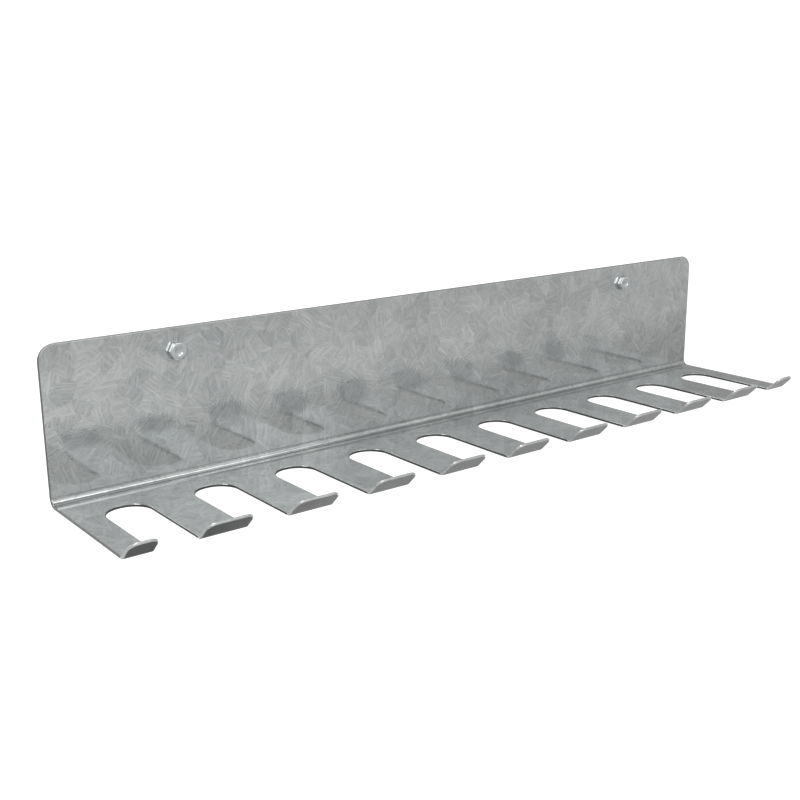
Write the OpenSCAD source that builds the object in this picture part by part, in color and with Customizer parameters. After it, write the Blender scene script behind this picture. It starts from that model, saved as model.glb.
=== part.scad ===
// Wall rack for clamps: one punched and folded sheet of galvanised steel, held by two lag screws.
// Millimetres. +X runs along the rack, to the right as seen from the room, +Y into the wall, +Z up.
// The origin lies on the wall, midway between the two screws.

/* [Sheet] */
// Thickness of the steel sheet
sheet_t = 2; // [1:0.1:3]
// Inside radius of the long fold between the plate and the shelf
fold_r = 4.8; // [1:0.1:12]

/* [Back plate] */
// Height of the plate above the shelf's top face
plate_h = 101.6; // [60:0.1:200]
// Radius of the plate's two top corners
plate_corner_r = 11; // [1:0.1:30]

/* [Slots and fingers] */
// Number of slots
slot_count = 10; // [4:1:20]
// Width of a slot, which clears a pipe of 26.7 mm
slot_w = 28.6; // [15:0.1:45]
// Width of the fingers between two slots
finger_w = 31.7; // [15:0.1:60]
// Width of the finger at each end of the row
end_finger_w = 19.15; // [12:0.05:60]
// Distance from the wall to the centre of a slot's round end
slot_end_y = 44.45; // [35:0.05:60]
// Distance from the wall to the front of the lips
rack_depth = 119; // [90:0.5:180]

/* [Lips] */
// How far each finger's lip is folded up from the shelf, in degrees
lip_angle = 45; // [20:1:90]
// Length of the lip beyond its fold
lip_l = 14.5; // [8:0.1:25]
// Inside radius of the lip's fold
lip_fold_r = 3; // [1:0.1:6]
// Radius of the lip's two top corners
lip_corner_r = 6.35; // [0.5:0.05:7.5]

/* [Screws] */
// Distance from each end of the rack to a screw, as a share of the rack's length
screw_inset_share = 0.15; // [0.05:0.005:0.4]
// Distance from the plate's top edge to the screws' centre line
screw_drop = 15.9; // [10:0.1:40]
// Diameter of a screw's shank
screw_d = 6.35; // [4:0.05:8]
// Length of a screw below its head
screw_l = 50.8; // [30:0.1:90]
// Length of a screw's pointed end
screw_point_l = 8; // [4:0.5:15]
// Width of the hexagonal head across its flats
head_af = 11.1; // [10:0.1:16]
// Height of the head
head_h = 4.4; // [2:0.1:8]
// Gap all round between a screw's shank and its hole in the plate
screw_gap = 0.8; // [0.2:0.05:1.5]

/* [Hidden] */
$fn = 96;
// How far a cut runs past the face that it goes through
overrun = 1;

// The row of fingers and slots
slot_pitch = slot_w + finger_w;
rack_l = slot_count * slot_w + (slot_count - 1) * finger_w + 2 * end_finger_w;
first_slot_x = -rack_l / 2 + end_finger_w + slot_w / 2;
function slot_x(i) = first_slot_x + i * slot_pitch;
function is_end(k) = k == 0 || k == slot_count;
function finger_width(k) = is_end(k) ? end_finger_w : finger_w;
function finger_x(k) = is_end(k)
    ? sign(k - slot_count / 2) * (rack_l - end_finger_w) / 2
    : slot_x(k) - slot_pitch / 2;

// The sheet's section
shelf_top_z = screw_drop - plate_h;
shelf_back_y = sheet_t + fold_r;
lip_reach = (lip_fold_r + sheet_t) * sin(lip_angle) + lip_l * cos(lip_angle);
shelf_front_y = rack_depth - lip_reach;
lip_fold_z = shelf_top_z + lip_fold_r;
// Flat steps that make up the curve of a lip's fold
lip_fold_steps = 10;

// A lip's corner radius takes up at most this share of the finger's width
corner_limit_share = 0.45;
// A rounded corner crosses the panel's edges by this share of its radius, so that it never just touches them
corner_cross_share = 0.004;

// The screws
screw_x = rack_l * (0.5 - screw_inset_share);
// The chamfer on a hexagonal head leaves a round flat as wide as this share of the flats
head_flat_share = 0.94;
// Slope of that chamfer
head_chamfer_angle = 30;
// The point ends in a tip as wide as this share of the shank
screw_tip_share = 0.12;

// Points along the lip's fold at the distance r from its axis, from the angle a0 to a1
function lip_arc(r, a0, a1) = [
    for (i = [0 : lip_fold_steps])
        let (a = a0 + (a1 - a0) * i / lip_fold_steps)
            [-shelf_front_y - r * sin(a), lip_fold_z - r * cos(a)]
];

// A point on the lip's end, at the distance r from the fold's axis
function lip_end(r) = [
    -shelf_front_y - r * sin(lip_angle) - lip_l * cos(lip_angle),
    lip_fold_z - r * cos(lip_angle) + lip_l * sin(lip_angle)
];

// The level shelf with the lip at its front, seen from the end of the rack
module shelf_section() {
    outer_r = lip_fold_r + sheet_t;
    polygon(concat(
        [[-shelf_back_y, shelf_top_z - sheet_t], [-shelf_back_y, shelf_top_z]],
        lip_arc(lip_fold_r, 0, lip_angle),
        [lip_end(lip_fold_r), lip_end(outer_r)],
        lip_arc(outer_r, lip_angle, 0)
    ));
}

// The quarter turn between the shelf and the plate
module fold_section() {
    translate([-shelf_back_y, shelf_top_z + fold_r])
        difference() {
            intersection() {
                circle(r = shelf_back_y);
                translate([0, -shelf_back_y]) square(shelf_back_y);
            }
            circle(r = fold_r);
        }
}

// The whole sheet as it is folded, before any slot is cut
module folded_sheet() {
    translate([-rack_l / 2, 0, 0])
        rotate([90, 0, 90])
            linear_extrude(rack_l) {
                shelf_section();
                fold_section();
                translate([-sheet_t, shelf_top_z + fold_r])
                    square([sheet_t, plate_h - fold_r]);
            }
}

// One slot: a round end, open through the lip at the front
module slot_cut(x) {
    reach = rack_depth + overrun - slot_end_y;
    translate([x, -slot_end_y, shelf_top_z - sheet_t - overrun])
        linear_extrude(sheet_t + lip_fold_r + lip_l + 2 * overrun) {
            circle(d = slot_w);
            translate([-slot_w / 2, -reach]) square([slot_w, reach]);
        }
}

// What is cut off to round one corner of a panel that lies towards +X and +Y from the origin
module corner_cut(r) {
    c = r * (1 - corner_cross_share);
    translate([0, 0, -overrun])
        linear_extrude(sheet_t + 2 * overrun)
            difference() {
                translate([-overrun, -overrun]) square(overrun + c);
                translate([c, c]) circle(r = r);
            }
}

// The same, at both ends of a panel of the width w
module corner_cuts(w, r) {
    for (side = [0, 1])
        mirror([side, 0, 0])
            translate([-w / 2, 0, 0]) corner_cut(r);
}

// The corners of the lip on finger k
module lip_corner_cuts(k) {
    w = finger_width(k);
    translate([finger_x(k), -shelf_front_y, lip_fold_z])
        rotate([-lip_angle, 0, 0])
            translate([0, -lip_l, -lip_fold_r - sheet_t])
                corner_cuts(w, min(lip_corner_r, w * corner_limit_share));
}

module screw_hole(x) {
    translate([x, overrun, 0])
        rotate([90, 0, 0])
            cylinder(h = sheet_t + 2 * overrun, r = screw_d / 2 + screw_gap);
}

module folded_rack() {
    color("#9aa0a3")
        difference() {
            folded_sheet();
            for (i = [0 : slot_count - 1]) slot_cut(slot_x(i));
            for (k = [0 : slot_count]) lip_corner_cuts(k);
            translate([0, -sheet_t, screw_drop])
                rotate([-90, 0, 0]) corner_cuts(rack_l, plate_corner_r);
            for (side = [-1, 1]) screw_hole(side * screw_x);
        }
}

// A hexagonal head with its outer corners turned down, standing on z = 0 and pointing to -Z
module hex_head() {
    corner_r = head_af / 2 / cos(30);
    flat_r = head_flat_share * head_af / 2;
    base_r = flat_r + head_h / tan(head_chamfer_angle);
    rotate([180, 0, 0])
        intersection() {
            cylinder(h = head_h, r = corner_r, $fn = 6);
            cylinder(h = head_h, r1 = base_r, r2 = flat_r);
        }
}

// A lag screw through the plate: its head stands on the plate, and its shank runs into the wall
module lag_screw(x) {
    translate([x, -sheet_t, 0])
        rotate([-90, 0, 0]) {
            hex_head();
            cylinder(h = screw_l - screw_point_l, d = screw_d);
            translate([0, 0, screw_l - screw_point_l])
                cylinder(h = screw_point_l, d1 = screw_d, d2 = screw_d * screw_tip_share);
        }
}

module left_lag_screw() {
    color("#b9bdc2") lag_screw(-screw_x);
}

module right_lag_screw() {
    color("#b9bdc2") lag_screw(screw_x);
}

folded_rack();
left_lag_screw();
right_lag_screw();
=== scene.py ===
# %% [markdown]
# # A clamp rack: one punched sheet, folded twice
#
# On the real object nearly everything is a single sheet of galvanised steel. A press punches a row of slots
# into it while it is flat, a brake folds the plate up, and a last tool turns a lip up at the end of every
# finger. Two lag screws hold it to the wall. This lesson follows the same order: a flat blank, a thickness,
# rolled edges, two folds, then the screws, the finishes and the light.
#
# The imported model is loaded first. It says where each piece is.

# %% Load the imported model
import math

import bmesh
import bpy
from mathutils import Matrix, Vector


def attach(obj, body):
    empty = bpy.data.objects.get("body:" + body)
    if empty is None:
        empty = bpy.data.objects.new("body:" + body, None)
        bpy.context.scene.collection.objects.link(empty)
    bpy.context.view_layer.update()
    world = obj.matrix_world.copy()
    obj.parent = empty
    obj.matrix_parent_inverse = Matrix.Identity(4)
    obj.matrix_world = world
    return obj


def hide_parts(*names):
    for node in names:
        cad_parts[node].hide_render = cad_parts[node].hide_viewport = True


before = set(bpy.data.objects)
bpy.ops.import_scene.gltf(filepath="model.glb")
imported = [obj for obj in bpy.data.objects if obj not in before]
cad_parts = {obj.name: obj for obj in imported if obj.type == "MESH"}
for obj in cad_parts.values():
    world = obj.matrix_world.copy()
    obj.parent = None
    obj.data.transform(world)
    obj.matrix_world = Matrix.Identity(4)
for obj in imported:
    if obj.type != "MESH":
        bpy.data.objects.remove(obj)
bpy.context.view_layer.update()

# %% [markdown]
# ## The sizes
#
# Every size is the one that the solids have, in metres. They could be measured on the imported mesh, but a
# folded sheet is described by few numbers, so writing them down keeps the later steps readable. A bend uses
# up sheet: the layer halfway through the thickness keeps its length, so a fold takes the arc of that layer.

# %% Sizes of the sheet and its folds
MM = 0.001
SHEET = 2 * MM
SLOTS = 10
PITCH = 60.3 * MM
SLOT_R = 14.3 * MM
FINGER_HALF = PITCH / 2 - SLOT_R
END_FINGER = 19.15 * MM
RACK_HALF = SLOTS * PITCH / 2 - FINGER_HALF + END_FINGER
SLOT_END = -44.45 * MM
PLATE_TOP = 15.9 * MM
SHELF_TOP = PLATE_TOP - 101.6 * MM
PLATE_CORNER = 11 * MM
FOLD_R, FOLD_ANGLE = 4.8 * MM, math.radians(90)
LIP_R, LIP_ANGLE = 3 * MM, math.radians(45)
LIP_LENGTH, LIP_CORNER = 14.5 * MM, 6.35 * MM
DEPTH = 119 * MM
RIM, LOWER_RIM = 1.1 * MM, 0.8 * MM

fold_line = -(SHEET + FOLD_R)
lip_line = -DEPTH + (LIP_R + SHEET) * math.sin(LIP_ANGLE) + LIP_LENGTH * math.cos(LIP_ANGLE)
fold_flat = (FOLD_R + SHEET / 2) * FOLD_ANGLE
lip_flat = (LIP_R + SHEET / 2) * LIP_ANGLE
blank_front = lip_line - lip_flat - LIP_LENGTH
blank_back = fold_line + fold_flat + (PLATE_TOP - SHELF_TOP - FOLD_R)
print("flat blank, front to back, in mm:", round((blank_back - blank_front) * 1000, 1))

# %% [markdown]
# ## A shorter way to write nodes
#
# Node trees can be drawn by hand in the editor or built in a script. In a script each node, value and link
# is a line of its own, which hides the idea behind the typing. This small class takes a node's inputs as a
# dictionary, and links them when they are sockets or sets them when they are values.

# %% A helper for node trees
class Nodes:
    """Builds one node tree: inputs are given by name, as a value or as another node's socket."""

    def __init__(self, tree):
        self.tree = tree

    def add(self, kind, ins=None, **settings):
        node = self.tree.nodes.new(kind)
        for name, value in settings.items():
            setattr(node, name, value)
        for key, value in (ins or {}).items():
            if isinstance(value, bpy.types.NodeSocket):
                self.link(value, node.inputs[key])
            else:
                node.inputs[key].default_value = value
        return node

    def get(self, kind, ins=None, **settings):
        """Adds a node and gives its first output."""
        return self.add(kind, ins, **settings).outputs[0]

    def link(self, source, target):
        self.tree.links.new(source, target)

    def math(self, operation, *values):
        return self.get("ShaderNodeMath", dict(enumerate(values)), operation=operation)

    def vector_math(self, operation, *values):
        return self.get("ShaderNodeVectorMath", dict(enumerate(values)), operation=operation)

    def distance(self, a, b):
        return self.math("ABSOLUTE", self.math("SUBTRACT", a, b))

    def xyz(self, x=0.0, y=0.0, z=0.0):
        return self.get("ShaderNodeCombineXYZ", {"X": x, "Y": y, "Z": z})

    def split(self, vector):
        return self.add("ShaderNodeSeparateXYZ", {"Vector": vector}).outputs

    def join(self, *parts):
        joined = self.add("GeometryNodeJoinGeometry")
        for part in parts:
            self.link(part, joined.inputs[0])
        return joined.outputs[0]


def geometry_tree(name, inputs):
    """A Geometry Nodes tree with these named inputs, its maker and its group input's sockets."""
    tree = bpy.data.node_groups.new(name, "GeometryNodeTree")
    tree.interface.new_socket("Geometry", in_out="OUTPUT", socket_type="NodeSocketGeometry")
    tree.interface.new_socket("Geometry", in_out="INPUT", socket_type="NodeSocketGeometry")
    for label, kind in inputs.items():
        tree.interface.new_socket(label, in_out="INPUT", socket_type="NodeSocket" + kind)
    nodes = Nodes(tree)
    return tree, nodes, nodes.add("NodeGroupInput").outputs


def use_tree(obj, tree, values):
    """Puts the tree on the object as a modifier and sets its inputs by their identifiers."""
    modifier = obj.modifiers.new(tree.name, "NODES")
    modifier.node_group = tree
    for item in tree.interface.items_tree:
        if item.in_out == "INPUT" and item.name in values:
            modifier[item.identifier] = values[item.name]


def new_object(name, mesh):
    obj = bpy.data.objects.new(name, mesh)
    bpy.context.scene.collection.objects.link(obj)
    return obj


def mesh_from(bm, name):
    """Turns the points and faces in bm into a mesh, and frees bm."""
    mesh = bpy.data.meshes.new(name)
    bm.to_mesh(mesh)
    bm.free()
    return mesh


def plain_mesh(obj, name):
    """A new object that holds what all the modifiers of obj made, with no modifier or empty slot left."""
    graph = bpy.context.evaluated_depsgraph_get()
    mesh = bpy.data.meshes.new_from_object(obj.evaluated_get(graph), depsgraph=graph)
    mesh.name = name
    bpy.data.objects.remove(obj)
    kept = [m for m in mesh.materials if m]
    places = [kept.index(m) if m else 0 for m in mesh.materials]
    slots = [places[p.material_index] for p in mesh.polygons]
    mesh.materials.clear()
    for material in kept:
        mesh.materials.append(material)
    mesh.polygons.foreach_set("material_index", slots)
    return new_object(name, mesh)

# %% [markdown]
# ## The camera
#
# The rack was photographed from the left, a little above it, with a lens slightly longer than normal. The
# place and angles below come from lining the rack's straight edges up with the picture. The camera could be
# aimed with a Track To constraint, but a matrix made of its right, up and back directions says exactly
# where it looks, with no shift and no depth of field.

# %% Camera at the photograph's angle
YAW, PITCH_DOWN, ROLL = 0.6507, 0.2615, -0.0088
CAMERA_PLACE = (-0.53215, -0.66033, 0.15715)
SENSOR_WIDTH, FOCAL_LENGTH = 36, 50.73

forward = Vector((math.sin(YAW) * math.cos(PITCH_DOWN), math.cos(YAW) * math.cos(PITCH_DOWN),
                  -math.sin(PITCH_DOWN)))
right = Vector((math.cos(YAW), -math.sin(YAW), 0))
up = right.cross(forward)
turned_right = right * math.cos(ROLL) + up * math.sin(ROLL)
turned_up = up * math.cos(ROLL) - right * math.sin(ROLL)
camera_data = bpy.data.cameras.new("camera")
camera_data.sensor_width, camera_data.lens = SENSOR_WIDTH, FOCAL_LENGTH
camera = new_object("camera", camera_data)
turn = Matrix((turned_right, turned_up, -forward)).transposed().to_4x4()
camera.matrix_world = Matrix.Translation(CAMERA_PLACE) @ turn
bpy.context.scene.camera = camera
print("camera looks along", [round(v, 3) for v in forward])

# %% [markdown]
# ## The crystals of the zinc
#
# Sheet like this is dipped in zinc as a flat coil. The zinc freezes in crystals a centimetre or two wide,
# each with feathery lines of its own direction, and then dulls to a soft grey mirror. A flat grey metal
# would have the right colour but none of that. So a Voronoi texture gives the crystals, its colour turns
# the coordinates inside each one, and a stretched noise drawn in those turned coordinates gives the
# feathers.

# %% Nodes for the crystals
CRYSTAL_SCALE, BEND_SCALE, BEND = 85.0, 90.0, 8 * MM
MAIN_NEEDLE, SIDE_NEEDLE = (1.3 * MM, 14 * MM), (1.1 * MM, 8 * MM)
SIDE_TURN, SIDE_SHARE = math.radians(60), 0.8
NEEDLE_TONES, DEPTH_SCALE = (0.32, 0.72), 100.0


def step(nodes, value, low, high, kind="LINEAR"):
    """A number that runs from 0 to 1 as the value goes from low to high."""
    return nodes.get("ShaderNodeMapRange", {"Value": value, "From Min": low, "From Max": high},
                     interpolation_type=kind)


def noise(nodes, place, scale, detail):
    return nodes.get("ShaderNodeTexNoise", {"Vector": place, "Scale": scale, "Detail": detail})


def needles(nodes, flat, angle, size):
    """Straight streaks in the direction that an angle gives, as a number from 0 to 1."""
    width, length = size
    turned = nodes.get("ShaderNodeVectorRotate", {"Vector": flat, "Angle": angle}, rotation_type="Z_AXIS")
    thin = nodes.vector_math("MULTIPLY", turned, (1 / width, 1 / length, DEPTH_SCALE))
    return step(nodes, noise(nodes, thin, scale=1.0, detail=2.0), *NEEDLE_TONES)


def zinc_crystals(nodes, flat):
    """Three random numbers of each crystal's own, and the feathers in it."""
    wander = nodes.add("ShaderNodeTexNoise", {"Vector": flat, "Scale": BEND_SCALE, "Detail": 2.0})
    bent = nodes.vector_math("MULTIPLY_ADD", wander.outputs["Color"], (BEND, BEND, 0.0), flat)
    crystal = nodes.add("ShaderNodeTexVoronoi", {"Vector": bent, "Scale": CRYSTAL_SCALE, "Randomness": 1.0})
    own = nodes.split(crystal.outputs["Color"])
    angle = nodes.math("MULTIPLY", own[0], 2 * math.pi)
    main = needles(nodes, flat, angle, MAIN_NEEDLE)
    side = needles(nodes, flat, nodes.math("ADD", angle, SIDE_TURN), SIDE_NEEDLE)
    return own, nodes.math("MAXIMUM", main, nodes.math("MULTIPLY", side, SIDE_SHARE))


print("crystals about", round(1 / CRYSTAL_SCALE / MM), "mm wide")

# %% [markdown]
# ## The flat place, painted shade and highlights
#
# The pattern formed before the sheet was folded, so it reads an attribute with the place that each point
# had on the flat blank. It runs round the folds as it does on the real rack.
#
# The same place tells where shade and highlights are painted on the zinc. On both sides of a narrow line
# along the inside of the fold the zinc is painted darker, a painted shade in the crease, so that the bright
# line which the window panel draws there stands out, most at the left; towards the right the line itself is
# painted darker too. A lighter and rougher line is painted on the shelf near the left end only, a painted
# highlight. The backs of the lips are painted darker and reflect less, a painted shade for the dark
# surroundings that they would reflect. Such marks could be painted by hand as vertex colours, but a rule
# about the place stays right when a size is changed.

# %% Nodes for the painted shade and highlights
# Where the painted shade in the crease, the painted highlight line on the shelf and the painted shade on
# the lips' backs lie.
UNSHADED_FOLD_LINE, LINE_BORDER, FOLD_BORDER = 0.6, (0.08, 0.16), (0.5, 0.44)
FADING, FADED_SHARE = (0.14, 0.26), 0.5
SHELF_HIGHLIGHT_LINE, SHELF_HIGHLIGHT_BORDER, SHELF_HIGHLIGHT_END = fold_line - 5.4 * MM, (2.4 * MM, 0.8 * MM), (-0.17, -0.27)
LIP_BACK_BORDER, LOWER_FACE = (lip_line + 3 * MM, lip_line - 4 * MM), SHELF_TOP - 0.99 * SHEET


def patch(nodes, *borders):
    """A patch with soft borders, each a number and the two values between which it eases from 0 to 1."""
    inside = 1.0
    for number, outer, inner in borders:
        inside = nodes.math("MULTIPLY", inside, step(nodes, number, outer, inner, "SMOOTHSTEP"))
    return inside


def painted_light_marks(nodes, flat):
    """Where shade is painted in the fold's crease, a highlight line on the shelf, and shade on the backs of
    the lips.
    """
    x, y, z = nodes.split(flat)
    turned = nodes.math("DIVIDE", nodes.math("SUBTRACT", y, fold_line), fold_flat)
    fading = nodes.math("MULTIPLY", patch(nodes, (x, *FADING)), FADED_SHARE)
    off_line = patch(nodes, (nodes.distance(turned, UNSHADED_FOLD_LINE), *LINE_BORDER))
    in_fold = patch(nodes, (nodes.distance(turned, 0.5), *FOLD_BORDER))
    crease_shade = nodes.math("MULTIPLY", nodes.math("MAXIMUM", off_line, fading), in_fold)
    shelf_highlight = patch(nodes, (nodes.distance(y, SHELF_HIGHLIGHT_LINE), *SHELF_HIGHLIGHT_BORDER), (x, *SHELF_HIGHLIGHT_END))
    lower_face = nodes.math("LESS_THAN", z, LOWER_FACE)
    lip_back_shade = nodes.math("MULTIPLY", patch(nodes, (y, *LIP_BACK_BORDER)), lower_face)
    return crease_shade, shelf_highlight, lip_back_shade


# The line printed here is the painted highlight line on the shelf.
print("the bar's line lies", round((fold_line - SHELF_HIGHLIGHT_LINE) / MM, 1), "mm in front of the fold")

# %% [markdown]
# ## The galvanised face
#
# The finish of the sheet is a metal whose colour, roughness and bump follow the crystals, by small amounts
# only, with the painted shade and highlights laid over them. It could be a picture wrapped round the sheet,
# but a picture has seams and blurs when the camera comes near. The nodes are worked out anew at every
# point.

# %% Material: galvanised face
ZINC = (0.26, 0.272, 0.274), (0.68, 0.70, 0.695)
# Darker zinc is the painted shade in the crease and on the backs of the lips; the near-white zinc is the
# painted highlight line on the shelf.
CREASE_SHADE_ZINC = (0.15, 0.157, 0.158), (0.42, 0.432, 0.43)
LIP_BACK_SHADE_ZINC = (0.078, 0.082, 0.08), (0.175, 0.181, 0.177)
SHELF_HIGHLIGHT_ZINC, SHELF_HIGHLIGHT_ROUGHNESS = (0.9, 0.915, 0.91), 0.3
LIP_BACK_SHADE_TINT = (0.58, 0.58, 0.58)


def new_material(name, metallic):
    """A new material, its nodes and its shader, which is metallic by the given share."""
    material = bpy.data.materials.new(name)
    material.use_nodes = True
    nodes = Nodes(material.node_tree)
    shader = material.node_tree.nodes["Principled BSDF"]
    shader.inputs["Metallic"].default_value = metallic
    return material, nodes, shader


def between(nodes, factor, low, high):
    """A number that runs from low to high as the factor runs from 0 to 1."""
    return nodes.get("ShaderNodeMapRange", {"Value": factor, "To Min": low, "To Max": high})


def weighed(nodes, *parts):
    """The sum of some numbers, each times its share."""
    total = 0.0
    for number, share in parts:
        total = nodes.math("MULTIPLY_ADD", number, share, total)
    return total


def mix_colours(nodes, factor, dark, light):
    """A colour that runs from dark to light as the factor runs from 0 to 1."""
    mix = nodes.add("ShaderNodeMix", data_type="RGBA")
    number = next(socket for socket in mix.inputs if socket.type == "VALUE")
    a, b = [socket for socket in mix.inputs if socket.type == "RGBA"]
    nodes.link(factor, number)
    for socket, colour in ((a, dark), (b, light)):
        if isinstance(colour, tuple):
            socket.default_value = (*colour, 1)
        else:
            nodes.link(colour, socket)
    return next(socket for socket in mix.outputs if socket.type == "RGBA")


def set_colour(nodes, shader, factor, dark, light):
    nodes.link(mix_colours(nodes, factor, dark, light), shader.inputs["Base Color"])


def set_bump(nodes, shader, height, strength, distance):
    bump = nodes.add("ShaderNodeBump", {"Height": height, "Strength": strength, "Distance": distance})
    nodes.link(bump.outputs["Normal"], shader.inputs["Normal"])


def blank_place(nodes):
    """Where each point of the sheet lay on the flat blank."""
    return nodes.add("ShaderNodeAttribute", attribute_name="blank_place").outputs["Vector"]


def galvanised_face():
    material, nodes, shader = new_material("galvanised face", metallic=0.75)
    flat = blank_place(nodes)
    own, feather = zinc_crystals(nodes, flat)
    crease_shade, shelf_highlight, lip_back_shade = painted_light_marks(nodes, flat)
    cloud = noise(nodes, flat, scale=16.0, detail=4.0)
    grain = noise(nodes, flat, scale=1500.0, detail=2.0)
    tone = weighed(nodes, (own[1], 0.2), (feather, 0.45), (cloud, 0.35))
    colour = mix_colours(nodes, tone, *ZINC)
    # Painted shade in the crease, a painted highlight line on the shelf, and painted shade on the backs of
    # the lips, whose reflection is dimmed too.
    colour = mix_colours(nodes, crease_shade, colour, mix_colours(nodes, tone, *CREASE_SHADE_ZINC))
    colour = mix_colours(nodes, shelf_highlight, colour, SHELF_HIGHLIGHT_ZINC)
    set_colour(nodes, shader, lip_back_shade, colour, mix_colours(nodes, tone, *LIP_BACK_SHADE_ZINC))
    nodes.link(mix_colours(nodes, lip_back_shade, (1, 1, 1), LIP_BACK_SHADE_TINT), shader.inputs["Specular Tint"])
    dull = between(nodes, weighed(nodes, (own[2], 0.5), (cloud, 0.5)), low=0.03, high=0.09)
    nodes.link(nodes.math("MULTIPLY_ADD", shelf_highlight, SHELF_HIGHLIGHT_ROUGHNESS, dull), shader.inputs["Roughness"])
    relief = weighed(nodes, (feather, 0.6), (grain, 0.4))
    set_bump(nodes, shader, relief, strength=0.1, distance=0.2 * MM)
    return material


face_metal = galvanised_face()
print("made", face_metal.name)

# %% [markdown]
# ## The sheared edge
#
# A punch tears through the sheet, so its cut faces are bare and rougher than the zinc beside them. The tear
# runs across the thickness, which shows as fine lines. The walls of the slots are nearly black, bare steel
# darkened further by painted shade, the two ends of the shelf are a little lighter, the edge of the plate
# is a mid grey, and the ends of the lips are painted bright, a painted highlight. All this could be part of
# the first material, mixed by a mask, but two materials on one piece are easier to read and to change.

# %% Material: sheared edge
# The near-black slot walls are painted shade over the bare steel's own darker tone; the bright lip ends are
# a painted highlight.
SHADED_SLOT_WALL = (0.025, 0.026, 0.025), (0.09, 0.093, 0.09)
PLATE_EDGE = (0.15, 0.155, 0.15), (0.34, 0.347, 0.34)
LIT_LIP_EDGE = (0.28, 0.288, 0.284), (0.6, 0.612, 0.608)
SHELF_END, PLATE_END = 0.4, 0.65
TEAR_SCALES = (2200.0, 2200.0, 250.0)


def sheared_edge():
    """Its tones run from the slot wall's to the plate edge's, and the two ends lie in between."""
    material, nodes, shader = new_material("sheared edge", metallic=0.85)
    flat = blank_place(nodes)
    tear = noise(nodes, nodes.vector_math("MULTIPLY", flat, TEAR_SCALES), scale=1.0, detail=3.0)
    x, y, _ = nodes.split(flat)
    ends = nodes.math("GREATER_THAN", nodes.math("ABSOLUTE", x), RACK_HALF - RIM)
    lip, plate = nodes.math("LESS_THAN", y, lip_line), nodes.math("GREATER_THAN", y, fold_line)
    plate = nodes.math("SUBTRACT", plate, nodes.math("MULTIPLY", ends, 1 - PLATE_END))
    outline = nodes.math("MULTIPLY", ends, SHELF_END)
    outline = nodes.math("MAXIMUM", outline, nodes.math("MAXIMUM", lip, plate))
    # Painted shade on the slot walls, a painted highlight on the lip ends.
    dark, light = [mix_colours(nodes, lip, mix_colours(nodes, outline, wall, edge), lit_lip_edge)
                   for wall, edge, lit_lip_edge in zip(SHADED_SLOT_WALL, PLATE_EDGE, LIT_LIP_EDGE)]
    set_colour(nodes, shader, tear, dark, light)
    nodes.link(between(nodes, tear, low=0.32, high=0.5), shader.inputs["Roughness"])
    set_bump(nodes, shader, tear, strength=0.25, distance=0.1 * MM)
    return material


edge_metal = sheared_edge()
print("made", edge_metal.name)

# %% [markdown]
# ## One cell of the flat blank
#
# The blank repeats: a finger with half a slot on either side, nine times, and a narrower finger at each
# end. Cutting slots out of a slab with a Boolean would work, but it leaves long thin triangles that fold
# badly. Here a cell is a ladder of quads between columns. The columns follow the curves of the slot and of
# the corners, and the rows lie where the sheet will bend. The cell stops short of the true outline by the
# width of the rolled rim, which is added all round later.

# %% Rows and columns of a cell
LIP_ROWS, FOLD_ROWS, ARC_STEPS, CORNER_STEPS = 8, 14, 14, 7
ROW_GAP, CORNER_ROW = 3 * MM, 1.3
POINT_GRID, TINY = 1e7, 1e-6
slot_r, finger_half = SLOT_R + RIM, FINGER_HALF - RIM
lip_corner, plate_corner = LIP_CORNER - RIM, PLATE_CORNER - RIM
front_end, back_end = blank_front + RIM, blank_back - RIM
behind_slots = SLOT_END + slot_r + ROW_GAP
rows = [lip_line - lip_flat * (1 - k / LIP_ROWS) for k in range(LIP_ROWS + 1)]
rows += [SLOT_END, behind_slots]
rows += [fold_line + fold_flat * k / FOLD_ROWS for k in range(FOLD_ROWS + 1)]
rows += [back_end - CORNER_ROW * plate_corner]


def quarter(radius, steps):
    """Distances from a side at which a rounded corner gets a column."""
    return [radius * (1 - math.cos(math.pi / 2 * k / steps)) for k in range(steps + 1)]


def stand_back(distance, radius):
    """How far a rounded corner's edge stands back from the panel's end, at a distance from its side."""
    inside = max(0.0, radius - distance)
    return radius - math.sqrt(max(0.0, radius * radius - inside * inside))


def blank_cell(name, columns, front, back):
    """A flat mesh of quads between neighbouring columns, from front(x, middle) to back(x)."""
    bm, found = bmesh.new(), {}

    def vert(x, y):
        key = (round(x * POINT_GRID), round(y * POINT_GRID))
        if key not in found:
            found[key] = bm.verts.new((x, y, SHELF_TOP))
        return found[key]

    for x, x2 in zip(columns, columns[1:]):
        middle = (x + x2) / 2
        ends = [(front(at, middle), back(at)) for at in (x, x2)]
        low, high = max(e[0] for e in ends) + TINY, min(e[1] for e in ends) - TINY
        inner = [y for y in rows if low < y < high]
        left, across = [[e[0], *inner, e[1]] for e in ends]
        for a, b, a2, b2 in zip(left, across, left[1:], across[1:]):
            bm.faces.new((vert(x, a), vert(x2, b), vert(x2, b2), vert(x, a2)))
    mesh = mesh_from(bm, name)
    print(name, "has", len(mesh.polygons), "quads")
    return new_object(name, mesh)


print("rows across the blank:", len(rows))

# %% The middle cell and the end cell
def slot_curve(distance):
    """The y of a slot's round end, at a distance from the slot's centre line."""
    return SLOT_END + math.sqrt(max(0.0, slot_r**2 - distance**2))


def slot_columns():
    return [slot_r * math.sin(math.pi / 2 * k / ARC_STEPS) for k in range(ARC_STEPS + 1)]


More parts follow.
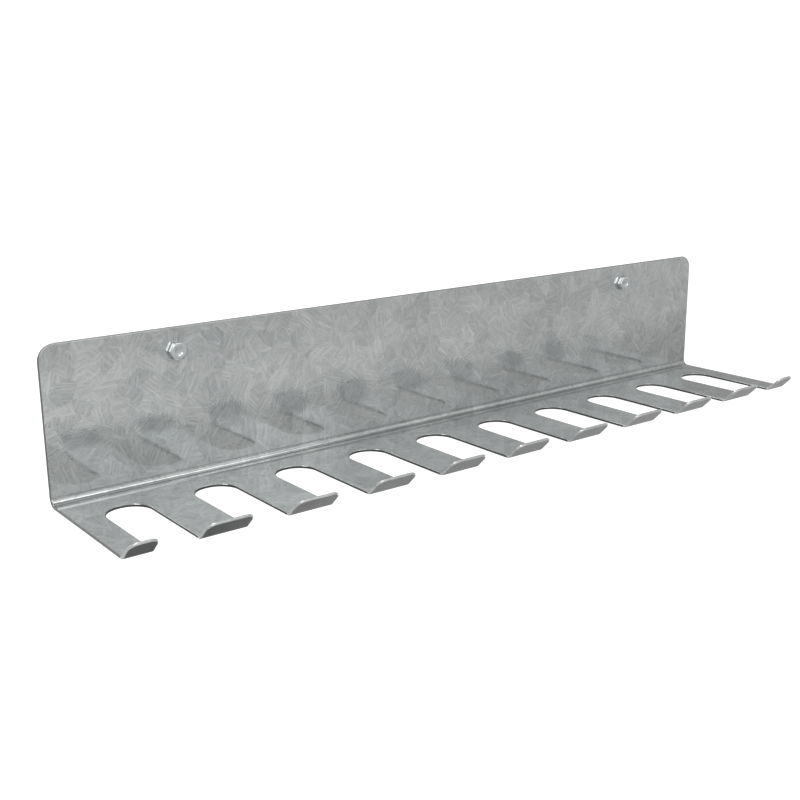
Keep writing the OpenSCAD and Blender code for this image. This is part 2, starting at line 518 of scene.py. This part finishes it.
def middle_cell():
    half = PITCH / 2
    side = [half - d for d in slot_columns()]
    corner = [finger_half - d for d in quarter(lip_corner, CORNER_STEPS)]
    right_half = sorted({round(v, 8) for v in side + corner + [0.0]})
    columns = sorted({-v for v in right_half} | set(right_half))

    def front(x, middle):
        if abs(middle) < finger_half:
            return front_end + stand_back(finger_half - abs(x), lip_corner)
        return slot_curve(half - abs(x))

    return blank_cell("middle cell", columns, front, lambda x: back_end)


def end_cell():
    edge = SLOT_R + END_FINGER - RIM
    columns = slot_columns() + [slot_r + d for d in quarter(lip_corner, CORNER_STEPS)]
    columns += [edge - d for d in quarter(lip_corner, CORNER_STEPS) + quarter(plate_corner, CORNER_STEPS)]
    columns = sorted({round(v, 7) for v in columns})

    def front(x, middle):
        if middle > slot_r:
            return front_end + stand_back(min(x - slot_r, edge - x), lip_corner)
        return slot_curve(x)

    return blank_cell("end cell", columns, front, lambda x: back_end - stand_back(edge - x, plate_corner))


cells = {"Middle cell": middle_cell(), "End cell": end_cell()}

# %% [markdown]
# ## The row of slots
#
# The cells are set side by side by a node tree: points one pitch apart, a cell on each, and an end cell on
# either side. An Array modifier could repeat the middle cell too, but it knows nothing of the two ends. The
# left end is a mirrored copy, and a mirror turns faces over, so they are flipped back. Merging the doubles
# welds the cells into a single sheet.

# %% Geometry Nodes: row of cells
WELD = 0.01 * MM


def row_tree():
    tree, nodes, given = geometry_tree("row of cells", {
        "Middle cell": "Object", "End cell": "Object", "Slots": "Int", "Pitch": "Float"})
    inner = nodes.math("SUBTRACT", given["Slots"], 1)
    start = nodes.math("MULTIPLY", nodes.math("SUBTRACT", given["Slots"], 2),
                       nodes.math("MULTIPLY", given["Pitch"], -0.5))
    points = nodes.get("GeometryNodeMeshLine", {
        "Count": inner, "Start Location": nodes.xyz(start),
        "Offset": nodes.xyz(given["Pitch"])}, mode="OFFSET")
    cell = nodes.add("GeometryNodeObjectInfo", {"Object": given["Middle cell"]}).outputs["Geometry"]
    placed = nodes.get("GeometryNodeInstanceOnPoints", {"Points": points, "Instance": cell})
    middle = nodes.get("GeometryNodeRealizeInstances", {"Geometry": placed})
    end = nodes.add("GeometryNodeObjectInfo", {"Object": given["End cell"]}).outputs["Geometry"]
    out = nodes.math("MULTIPLY", inner, nodes.math("MULTIPLY", given["Pitch"], 0.5))
    right_end = nodes.get("GeometryNodeTransform", {"Geometry": end, "Translation": nodes.xyz(out)})
    left_end = nodes.get("GeometryNodeTransform", {"Geometry": right_end, "Scale": (-1.0, 1.0, 1.0)})
    left_end = nodes.get("GeometryNodeFlipFaces", {"Mesh": left_end})
    welded = nodes.get("GeometryNodeMergeByDistance", {
        "Geometry": nodes.join(middle, right_end, left_end), "Distance": WELD})
    nodes.add("NodeGroupOutput", {"Geometry": welded})
    return tree


blank = new_object("blank", bpy.data.meshes.new("blank"))
use_tree(blank, row_tree(), {**cells, "Slots": SLOTS, "Pitch": PITCH})

flat_blank = plain_mesh(blank, "flat_blank")
for cell in cells.values():
    bpy.data.objects.remove(cell)
print("flat blank:", len(flat_blank.data.polygons), "quads")

# %% [markdown]
# ## Thickness and the rolled rim
#
# The blank is rolled along its cuts so that nobody is hurt by a burr, which leaves both edges of every cut
# well rounded. The upper one draws a light line round each slot, and the lower one along the end of each
# lip. Solidify and Bevel could make them, but a bevel stops where the quads beside the edge are narrow, as
# they are at the corners. So this code walks round the outline and sets a row of points for each step of
# the edge's section: how far out it lies, and how deep.

# %% Mesh code: two faces and the edge between them
ROLL_STEPS = 4


def edge_section():
    """Steps of the edge, from the upper face to the lower one: distance outwards, and depth."""
    turns = [math.pi / 2 / ROLL_STEPS * k for k in range(ROLL_STEPS + 1)]
    steps = [(RIM * math.sin(a), RIM * (1 - math.cos(a))) for a in turns[1:]]
    steps += [(RIM - LOWER_RIM * (1 - math.cos(a)), SHEET - LOWER_RIM * (1 - math.sin(a))) for a in turns]
    return steps


def outward_directions(flat):
    """The border's edges, and the direction that leads out of the sheet at each of its points."""
    beside = {}
    for face in flat.polygons:
        for key in face.edge_keys:
            beside.setdefault(key, []).append(face.center)
    border = [key for key, centres in beside.items() if len(centres) == 1]
    out = {}
    for a, b in border:
        start, run = flat.vertices[a].co, flat.vertices[b].co - flat.vertices[a].co
        side = Vector((run.y, -run.x, 0)).normalized()
        if side.dot(beside[a, b][0] - start) > 0:
            side.negate()
        for i in (a, b):
            out[i] = out.get(i, Vector()) + side
    return border, {i: side.normalized() for i, side in out.items()}


def thick_sheet(flat):
    down = Vector((0, 0, -1))
    border, out = outward_directions(flat)
    bm = bmesh.new()
    upper = [bm.verts.new(v.co) for v in flat.vertices]
    lower = [bm.verts.new(v.co + down * SHEET) for v in flat.vertices]
    for face in flat.polygons:
        bm.faces.new([upper[i] for i in face.vertices])
        bm.faces.new([lower[i] for i in reversed(face.vertices)])
    chains = {i: [upper[i], *(bm.verts.new(flat.vertices[i].co + side * far + down * deep)
                              for far, deep in edge_section()), lower[i]] for i, side in out.items()}
    for a, b in border:
        for k in range(len(chains[a]) - 1):
            bm.faces.new((chains[a][k], chains[a][k + 1], chains[b][k + 1], chains[b][k]))
    bmesh.ops.recalc_face_normals(bm, faces=bm.faces)
    return new_object("thick sheet", mesh_from(bm, "thick sheet"))


sheet = thick_sheet(flat_blank.data)
bpy.data.objects.remove(flat_blank)
print("steps down the edge, in mm:", [(round(a / MM, 2), round(b / MM, 2)) for a, b in edge_section()])

# %% [markdown]
# ## Screw holes
#
# The holes are punched while the sheet is flat, so a Boolean takes them out here, with a little room round
# the screws. They could be left out, as the heads cover them, but from behind they show.

# %% The punch for the screw holes
SCREW_R, HOLE_GAP, HOLE_STEPS = 3.175 * MM, 0.8 * MM, 40
SCREW_SHARE = 0.7
SCREW_X = SCREW_SHARE * RACK_HALF
hole_on_blank = fold_line + fold_flat - SHELF_TOP - FOLD_R


def ring(bm, centre, radius, z):
    """A circle of points, level with the blank."""
    turns = [2 * math.pi * k / HOLE_STEPS for k in range(HOLE_STEPS)]
    x, y = centre
    return [bm.verts.new((x + radius * math.cos(a), y + radius * math.sin(a), z)) for a in turns]


def punch_tool():
    bm = bmesh.new()
    for x in (-SCREW_X, SCREW_X):
        low, high = [ring(bm, (x, hole_on_blank), SCREW_R + HOLE_GAP, z)
                     for z in (SHELF_TOP - 2 * SHEET, SHELF_TOP + SHEET)]
        for k in range(HOLE_STEPS):
            n = (k + 1) % HOLE_STEPS
            bm.faces.new((low[k], low[n], high[n], high[k]))
        bm.faces.new(low[::-1])
        bm.faces.new(high)
    return new_object("punch", mesh_from(bm, "punch"))


punch = punch_tool()
holes = sheet.modifiers.new("screw holes", "BOOLEAN")
holes.object, holes.operation, holes.solver = punch, "DIFFERENCE", "EXACT"
print("rack", round(2 * RACK_HALF / MM, 1), "mm long, screws", round(SCREW_X / MM, 2), "mm from its middle")

# %% [markdown]
# ## The folds
#
# A press brake bends a sheet about a line. All that lies beyond the line is carried round an arc and then
# goes straight on. That is a rule about positions, so it is a node group that moves each point: how far it
# lies beyond the line gives its angle, and its depth in the sheet gives its radius. An armature or a Simple
# Deform modifier could bend it too, but neither keeps the real inside radius. The group is used twice, for
# the plate and for all the lips at once.

# %% Geometry Nodes: one fold
def fold_group():
    tree, nodes, given = geometry_tree("fold about a line", {
        name: "Float" for name in ("Line", "Side", "Radius", "Angle", "Thickness", "Top")})
    x, y, z = nodes.split(nodes.get("GeometryNodeInputPosition"))
    across = nodes.math("MULTIPLY", nodes.math("SUBTRACT", y, given["Line"]), given["Side"])
    beyond = nodes.math("MAXIMUM", across, 0.0)
    before = nodes.math("MINIMUM", across, 0.0)
    middle_r = nodes.math("MULTIPLY_ADD", given["Thickness"], 0.5, given["Radius"])
    angle = nodes.math("MINIMUM", nodes.math("DIVIDE", beyond, middle_r), given["Angle"])
    straight = nodes.math("SUBTRACT", beyond, nodes.math("MULTIPLY", middle_r, angle))
    axis_z = nodes.math("ADD", given["Top"], given["Radius"])
    own_r = nodes.math("SUBTRACT", axis_z, z)
    sine, cosine = nodes.math("SINE", angle), nodes.math("COSINE", angle)
    out = nodes.math("MULTIPLY_ADD", own_r, sine, nodes.math("MULTIPLY_ADD", straight, cosine, before))
    height = nodes.math("MULTIPLY_ADD", straight, sine, axis_z)
    rise = nodes.math("SUBTRACT", height, nodes.math("MULTIPLY", own_r, cosine))
    place = nodes.xyz(x, nodes.math("MULTIPLY_ADD", out, given["Side"], given["Line"]), rise)
    moved = nodes.get("GeometryNodeSetPosition", {"Geometry": given["Geometry"], "Position": place})
    nodes.add("NodeGroupOutput", {"Geometry": moved})
    return tree


fold = fold_group()
print("nodes in one fold:", len(fold.nodes))

# %% [markdown]
# ## Materials, then both folds
#
# While the sheet is still flat, the tree stores each point's place for the zinc pattern, and it tells the
# cut faces by their normals: those of a wall lie level. Along the slots the lower roll counts as cut too,
# and so does half of the upper one, which leaves a thin light line above the dark wall. Round the plate and
# at the rack's two ends all of the upper one does, where the photograph shows no light line. Then the two
# folds follow. The tree ends by realising what it made and setting the materials, so that nothing depends
# on it afterwards.

# %% Geometry Nodes: finish and fold the blank
# Giving the rounded rims the dark colour of the cut faces is painted shade: it takes away most of the light
# that they would catch.
WALL, HALF_ROLL, WHOLE_ROLL = 0.4, 0.7, 0.95


def cut_faces(nodes, given):
    """Which faces of the flat blank are cut ones, by the rise of their normals and where they lie."""
    rise = nodes.split(nodes.get("GeometryNodeInputNormal"))[2]
    x, y, _ = nodes.split(nodes.get("GeometryNodeInputPosition"))
    behind_lip = nodes.math("GREATER_THAN", y, given["Lip line"])
    at_end = nodes.math("GREATER_THAN", nodes.math("ABSOLUTE", x), given["Half length"])
    outline = nodes.math("MAXIMUM", at_end, nodes.math("GREATER_THAN", y, given["Fold line"]))
    lowest = nodes.math("MULTIPLY_ADD", behind_lip, WALL - WHOLE_ROLL, -WALL)
    highest = nodes.math("MAXIMUM", nodes.math("MULTIPLY_ADD", behind_lip, HALF_ROLL - WALL, WALL),
                         nodes.math("MULTIPLY", outline, WHOLE_ROLL))
    return nodes.math("MULTIPLY", nodes.math("LESS_THAN", rise, highest),
                      nodes.math("GREATER_THAN", rise, lowest))


def folded_tree():
    lengths = ("Thickness", "Top", "Fold line", "Fold radius", "Fold angle",
               "Lip line", "Lip radius", "Lip angle", "Half length")
    tree, nodes, given = geometry_tree("fold the blank", {
        **{name: "Float" for name in lengths}, "Face": "Material", "Cut": "Material"})
    flat = nodes.get("GeometryNodeStoreNamedAttribute", {
        "Geometry": given["Geometry"], "Name": "blank_place",
        "Value": nodes.get("GeometryNodeInputPosition")}, data_type="FLOAT_VECTOR", domain="POINT")
    bent = nodes.get("GeometryNodeStoreNamedAttribute", {
        "Geometry": flat, "Name": "cut_face", "Value": cut_faces(nodes, given)},
        data_type="BOOLEAN", domain="FACE")
    for side, name in ((1.0, "Fold"), (-1.0, "Lip")):
        bent = nodes.get("GeometryNodeGroup", {
            "Geometry": bent, "Side": side, "Line": given[name + " line"],
            "Radius": given[name + " radius"], "Angle": given[name + " angle"],
            "Thickness": given["Thickness"], "Top": given["Top"]}, node_tree=fold)
    smooth = nodes.get("GeometryNodeSetShadeSmooth", {"Geometry": bent, "Shade Smooth": True})
    real = nodes.get("GeometryNodeRealizeInstances", {"Geometry": smooth})
    faced = nodes.get("GeometryNodeSetMaterial", {"Geometry": real, "Material": given["Face"]})
    is_cut = nodes.get("GeometryNodeInputNamedAttribute", {"Name": "cut_face"}, data_type="BOOLEAN")
    both = nodes.get("GeometryNodeSetMaterial", {
        "Geometry": faced, "Material": given["Cut"], "Selection": is_cut})
    nodes.add("NodeGroupOutput", {"Geometry": both})
    return tree


use_tree(sheet, folded_tree(), {
    "Thickness": SHEET, "Top": SHELF_TOP, "Half length": RACK_HALF - RIM,
    "Fold line": fold_line, "Fold radius": FOLD_R, "Fold angle": FOLD_ANGLE,
    "Lip line": lip_line, "Lip radius": LIP_R, "Lip angle": LIP_ANGLE,
    "Face": face_metal, "Cut": edge_metal})
even = sheet.modifiers.new("even shading", "WEIGHTED_NORMAL")
even.weight = 60
rack = plain_mesh(sheet, "steel_rack")
bpy.data.objects.remove(punch)


def open_edges(obj):
    bm = bmesh.new()
    bm.from_mesh(obj.data)
    found = sum(not e.is_manifold for e in bm.edges)
    bm.free()
    return found


print("rack:", len(rack.data.polygons), "faces,", open_edges(rack), "open edges,",
      [m.name for m in rack.data.materials], "reach", [round(v * 1000, 1) for v in rack.dimensions])

# %% [markdown]
# ## Bright zinc
#
# The screws are plated, not dipped, so their zinc is thin, even and bright, with no crystals. What varies
# is small: a cloudy polish, and fine marks from the socket that drove them.

# %% Material: bright zinc
def bright_zinc():
    material, nodes, shader = new_material("bright zinc", metallic=1.0)
    place = nodes.add("ShaderNodeTexCoord").outputs["Object"]
    cloud = noise(nodes, place, scale=260.0, detail=3.0)
    marks = noise(nodes, place, scale=2600.0, detail=2.0)
    set_colour(nodes, shader, cloud, dark=(0.48, 0.50, 0.51), light=(0.68, 0.70, 0.705))
    nodes.link(between(nodes, cloud, low=0.08, high=0.2), shader.inputs["Roughness"])
    set_bump(nodes, shader, marks, strength=0.12, distance=0.1 * MM)
    return material


zinc = bright_zinc()
print("made", zinc.name)

# %% [markdown]
# ## The head of a lag screw
#
# The head is stamped cold: a hexagon with its outer corners turned down to a shallow cone, and a round dish
# pressed into the top. Underneath, its edge is drawn in a little, which leaves a dark line against the
# plate. A six-sided prism would miss all three. So the head is a polar grid: rings of points whose radius
# follows a circle or the hexagon, with the cone's height worked out at each angle. Bevel then softens its
# edges.

# %% Mesh code: hexagonal head
HEAD_FLATS, HEAD_H, AROUND = 11.1 * MM, 4.4 * MM, 48
TOP_SHARE, CHAMFER = 0.94, math.radians(30)
DRAWN_IN_H, DRAWN_IN_SHARE, NECK_R = 0.45 * MM, 0.93, 3.05 * MM
DISH_DEPTH = 0.88 * MM
DISH = [(1.2, 0.86), (2.1, 0.78), (2.55, 0.5), (2.85, 0.12), (3.05, 0.0)]  # radius and depth, in mm


def hex_head():
    bm = bmesh.new()
    half = HEAD_FLATS / 2
    top_r, slope = TOP_SHARE * half, math.tan(CHAMFER)
    angles = [2 * math.pi * k / AROUND for k in range(AROUND)]
    hexagon = [half / math.cos(a % (math.pi / 3) - math.pi / 6) for a in angles]

    def loop(radii, heights):
        points = zip(angles, radii, heights)
        return [bm.verts.new((r * math.cos(a), r * math.sin(a), -z)) for a, r, z in points]

    loops = [loop([r * MM] * AROUND, [HEAD_H - deep * MM] * AROUND) for r, deep in DISH]
    loops += [loop([top_r] * AROUND, [HEAD_H] * AROUND),
              loop(hexagon, [HEAD_H - (r - top_r) * slope for r in hexagon]),
              loop(hexagon, [DRAWN_IN_H] * AROUND),
              loop([DRAWN_IN_SHARE * half] * AROUND, [0.0] * AROUND),
              loop([NECK_R] * AROUND, [0.0] * AROUND)]
    middle = bm.verts.new((0, 0, DISH_DEPTH - HEAD_H))
    for k in range(AROUND):
        bm.faces.new((middle, loops[0][k], loops[0][(k + 1) % AROUND]))
    for a, b in zip(loops, loops[1:]):
        for k in range(AROUND):
            n = (k + 1) % AROUND
            bm.faces.new((a[k], b[k], b[n], a[n]))
    bmesh.ops.recalc_face_normals(bm, faces=bm.faces)
    return mesh_from(bm, "head")


head_mesh = hex_head()
print("head faces:", len(head_mesh.polygons))

# %% [markdown]
# ## The thread
#
# A lag screw's thread is a narrow ridge wound round a thinner core. Level rings of points would cut across
# the ridge and leave it ragged. Here a flat grid is sheared first, so that its rows climb one pitch in one
# turn, and then rolled up: every row follows the ridge exactly. Points that would pass either end are held
# there, where they fall together and are merged, which closes the tip and joins the neck to the head.

# %% Geometry Nodes: shank, thread and point
WHOLE_TURNS, RIDGE_SLOPE, TAPER_POWER = 8.0, 4.0, 0.85
SHARP_ANGLE, FINE_WELD = math.radians(35), 0.004 * MM


def thread_radius(nodes, given, along, climb):
    """The shank's radius at a place: neck, core, ridge and point.

    Whole turns are added before the fraction is taken, so that it is never one of a negative number.
    """
    turns = nodes.math("DIVIDE", nodes.math("SUBTRACT", along, climb), given["Pitch"])
    away = nodes.distance(nodes.math("FRACT", nodes.math("ADD", turns, WHOLE_TURNS)), 0.5)
    ridge = nodes.math("SUBTRACT", 1.0, nodes.math("MULTIPLY", away, RIDGE_SLOPE))
    ridge = nodes.math("MAXIMUM", ridge, 0.0)
    started = step(nodes, along, given["Neck"], nodes.math("ADD", given["Neck"], given["Pitch"]))
    left = nodes.math("DIVIDE", nodes.math("SUBTRACT", given["Length"], along), given["Point"])
    taper = nodes.math("POWER", nodes.math("MINIMUM", left, 1.0), TAPER_POWER)
    thinner = nodes.math("SUBTRACT", given["Root radius"], given["Neck radius"])
    core = nodes.math("MULTIPLY_ADD", thinner, started, given["Neck radius"])
    depth = nodes.math("SUBTRACT", given["Crest radius"], given["Root radius"])
    rise = nodes.math("MULTIPLY", depth, nodes.math("MULTIPLY", ridge, started))
    return nodes.math("MULTIPLY", nodes.math("ADD", core, rise), taper)


def rolled_grid(nodes, given):
    """A grid whose rows climb one pitch in one turn, rolled up into the shank."""
    grid = nodes.get("GeometryNodeMeshGrid", {
        "Size X": 1.0, "Size Y": 1.0, "Vertices X": nodes.math("ADD", given["Around"], 1),
        "Vertices Y": nodes.math("ADD", given["Rows"], 1)})
    place = nodes.get("GeometryNodeInputPosition")
    u, v, _ = nodes.split(nodes.vector_math("ADD", place, (0.5, 0.5, 0.0)))
    climb = nodes.math("MULTIPLY", u, given["Pitch"])
    run = nodes.math("ADD", given["Length"], given["Pitch"])
    along = nodes.math("SUBTRACT", nodes.math("MULTIPLY", v, run), given["Pitch"])
    along = nodes.math("MAXIMUM", nodes.math("ADD", along, climb), 0.0)
    along = nodes.math("MINIMUM", along, given["Length"])
    radius = thread_radius(nodes, given, along, climb)
    angle = nodes.math("MULTIPLY", u, 2 * math.pi)
    return nodes.get("GeometryNodeSetPosition", {"Geometry": grid, "Position": nodes.xyz(
        nodes.math("MULTIPLY", radius, nodes.math("COSINE", angle)),
        nodes.math("MULTIPLY", radius, nodes.math("SINE", angle)), along)})


def screw_tree():
    numbers = ("Length", "Point", "Neck", "Neck radius", "Root radius", "Crest radius", "Pitch")
    tree, nodes, given = geometry_tree("lag screw", {
        "Place": "Vector", **{name: "Float" for name in numbers}, "Around": "Int", "Rows": "Int",
        "Finish": "Material"})
    welded = nodes.get("GeometryNodeMergeByDistance", {
        "Geometry": nodes.join(given["Geometry"], rolled_grid(nodes, given)), "Distance": FINE_WELD})
    set_in = nodes.get("GeometryNodeTransform", {
        "Geometry": welded, "Translation": given["Place"], "Rotation": (-math.pi / 2, 0.0, 0.0)})
    smooth = nodes.get("GeometryNodeSetShadeSmooth", {"Geometry": set_in, "Shade Smooth": True})
    bend = nodes.add("GeometryNodeInputMeshEdgeAngle").outputs["Unsigned Angle"]
    sharp = nodes.get("FunctionNodeCompare", {"A": bend, "B": SHARP_ANGLE}, operation="GREATER_THAN")
    creased = nodes.get("GeometryNodeSetShadeSmooth", {
        "Geometry": smooth, "Selection": sharp, "Shade Smooth": False}, domain="EDGE")
    real = nodes.get("GeometryNodeRealizeInstances", {"Geometry": creased})
    done = nodes.get("GeometryNodeSetMaterial", {"Geometry": real, "Material": given["Finish"]})
    nodes.add("NodeGroupOutput", {"Geometry": done})
    return tree


thread = screw_tree()
print("nodes in the screw's tree:", len(thread.nodes))

# %% [markdown]
# ## Two lag screws
#
# Both screws are the same part, driven in until the head stands on the plate. One could be a linked copy of
# the other, but each stands for a solid of its own, so each gets its own copy of the head and runs the tree
# once. The bevel comes before the tree, so that it softens the head and not the thread.

# %% Left and right screw
THREAD_PITCH, THREAD_TURNS, ROWS_PER_TURN = 2.54 * MM, 20, 8
POINT_LENGTH, NECK_LENGTH, ROOT_R = 8 * MM, 11 * MM, 2.35 * MM
SOFT_EDGE, SOFT_ANGLE = 0.16 * MM, math.radians(25)


def lag_screw(name, x):
    head = new_object(name + "_head", head_mesh.copy())
    softened = head.modifiers.new("soft edges", "BEVEL")
    softened.width, softened.segments = SOFT_EDGE, 2
    softened.limit_method, softened.angle_limit = "ANGLE", SOFT_ANGLE
    use_tree(head, thread, {
        "Place": (x, -SHEET, 0.0), "Length": THREAD_TURNS * THREAD_PITCH, "Point": POINT_LENGTH,
        "Neck": NECK_LENGTH, "Neck radius": NECK_R, "Root radius": ROOT_R, "Crest radius": SCREW_R,
        "Pitch": THREAD_PITCH, "Around": AROUND, "Rows": ROWS_PER_TURN * (THREAD_TURNS + 1),
        "Finish": zinc})
    screw = plain_mesh(head, name)
    print(name, len(screw.data.polygons), "faces,", open_edges(screw), "open edges")
    return screw


screws = {"left_lag_screw": lag_screw("left_zinc_screw", -SCREW_X),
          "right_lag_screw": lag_screw("right_zinc_screw", SCREW_X)}

# %% [markdown]
# ## The stage
#
# A rack with nothing round it only looks like steel if there is something to reflect. A pale floor lies
# well below, and curves up into a pale backdrop far behind, as in a photographer's cove, so no corner shows
# in the steel. The paper glows like a light table, because the background of the photograph is white. The
# glow is weak in front of the rack, where the plate reflects it as a soft grey. At the right it ends above
# what the camera sees, so that the last fingers, which reflect the paper there, do not vanish into the
# white. Two patches of the floor that the camera does not see are darker as well: one below the rack, which
# the backs of the nearest lips reflect, and one in front, which the plate shows through the slots.

# %% Floor and backdrop
FLOOR_Z, FLOOR_ROWS, SIDES = -0.55, (-4.0, -0.5, 3.0), (-6.0, 8.0)
COVE_R, COVE_STEPS, BACKDROP_TOP = 1.5, 16, 5.0
PAPER, SHADED_PAPER = (0.66, 0.66, 0.66), (0.36, 0.37, 0.36)
WEAK_GLOW, BEHIND_GLOW, BACKDROP_GLOW = 0.08, 0.42, 0.3
# Above, below the rack and in front of it the paper is painted darker, a painted shade; the patch below the
# rack is a painted shadow of the rack.
ABOVE = ("x", 2.5, 5.5), ("z", 0.9, 1.6)
BEHIND = ("ahead", 0.04, 0.19), ("y", -0.6, -0.15)
BELOW = ("ahead", 0.17, 0.05), ("y", -0.35, -0.15), ("y", 0.6, 0.25), ("x", -0.7, -0.3)
IN_FRONT = ("y", -1.8, -1.5), ("y", -0.6, -1.25)
BACKDROP = (("y", 0.5, 4.0),)


def pale_paper():
    """Each patch has borders: a direction, and the two places along it between which the patch eases in."""
    material, nodes, shader = new_material("pale paper", metallic=0.0)
    shader.inputs["Roughness"].default_value = 0.9
    shader.inputs["Specular IOR Level"].default_value = 0.0
    shader.inputs["Emission Color"].default_value = (1, 1, 1, 1)
    x, y, z = nodes.split(nodes.add("ShaderNodeTexCoord").outputs["Object"])
    ahead = nodes.math("MULTIPLY_ADD", x, math.sin(YAW), nodes.math("MULTIPLY", y, math.cos(YAW)))
    numbers = {"x": x, "y": y, "z": z, "ahead": ahead}
    above, behind, below, in_front, backdrop = [
        patch(nodes, *((numbers[name], outer, inner) for name, outer, inner in borders))
        for borders in (ABOVE, BEHIND, BELOW, IN_FRONT, BACKDROP)]
    shaded = nodes.math("MAXIMUM", above, nodes.math("MAXIMUM", below, in_front))
    glow = nodes.math("MULTIPLY_ADD", behind, BEHIND_GLOW, WEAK_GLOW)
    glow = nodes.math("MULTIPLY_ADD", backdrop, BACKDROP_GLOW, glow)
    glow = nodes.math("MULTIPLY", glow, nodes.math("SUBTRACT", 1.0, above))
    nodes.link(glow, shader.inputs["Emission Strength"])
    set_colour(nodes, shader, shaded, PAPER, SHADED_PAPER)
    return material


def cove():
    bend = [math.pi / 2 * k / COVE_STEPS for k in range(1, COVE_STEPS + 1)]
    back = FLOOR_ROWS[-1]
    profile = [(y, 0.0) for y in FLOOR_ROWS]
    profile += [(back + COVE_R * math.sin(a), COVE_R - COVE_R * math.cos(a)) for a in bend]
    profile += [(back + COVE_R, BACKDROP_TOP)]
    bm = bmesh.new()
    lines = [[bm.verts.new((x, y, FLOOR_Z + z)) for x in SIDES] for y, z in profile]
    for a, b in zip(lines, lines[1:]):
        bm.faces.new((a[0], a[1], b[1], b[0]))
    mesh = mesh_from(bm, "cove")
    mesh.shade_smooth()
    mesh.materials.append(pale_paper())
    return new_object("cove", mesh)


cove()
print("floor", -FLOOR_Z, "m below the screws")

# %% [markdown]
# ## The light
#
# Soft light comes from four panels and an even fill all round, so no reflection goes black. A large panel
# in front is what the shelf shows, by way of the plate, and it fades towards the right as in the
# photograph. A window panel high up in front draws the bright line along the fold and the lips. A small
# panel at the left gives the rims and the screw heads their glints. The last one hangs high up behind the
# plate, where only the rounded corners of the lips reflect it, and not the straight edges of the fingers.
# Each power is the panel's brightness times pi times its area.

# %% Lamps and world
def panel(name, place, target, size, brightness):
    light = bpy.data.lights.new(name, "AREA")
    width, height = size
    light.shape, light.size, light.size_y = "RECTANGLE", width, height
    light.energy = brightness * math.pi * width * height
    obj = new_object(name, light)
    obj.location = place
    obj.rotation_euler = (Vector(target) - Vector(place)).to_track_quat("-Z", "Y").to_euler()
    print(name, round(light.energy, 1), "W")


panel("front panel", (0.1, -2.2, 1.0), target=(0.0, 0.0, 0.2), size=(2.6, 2.0), brightness=0.4)
panel("window panel", (0.3, -0.5, 1.2), target=(-0.15, 0.0, -0.08), size=(0.9, 0.4), brightness=1.8)
panel("left panel", (-0.95, -1.5, 0.9), target=(0.0, 0.0, 0.0), size=(0.8, 1.1), brightness=3.0)
panel("corner panel", (-0.4, 0.36, 1.1), target=(0.0, -0.1, -0.08), size=(1.2, 0.35), brightness=5.0)
world = bpy.data.worlds.new("soft fill")
bpy.context.scene.world = world
world.use_nodes = True
background = world.node_tree.nodes["Background"]
background.inputs["Color"].default_value = (1.0, 1.0, 1.0, 1)
background.inputs["Strength"].default_value = 0.8
bpy.context.scene.view_settings.view_transform = "Standard"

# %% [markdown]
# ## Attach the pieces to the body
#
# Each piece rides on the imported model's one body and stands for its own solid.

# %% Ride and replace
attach(rack, "root")
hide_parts("folded_rack")
for node, screw in screws.items():
    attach(screw, "root")
    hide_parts(node)
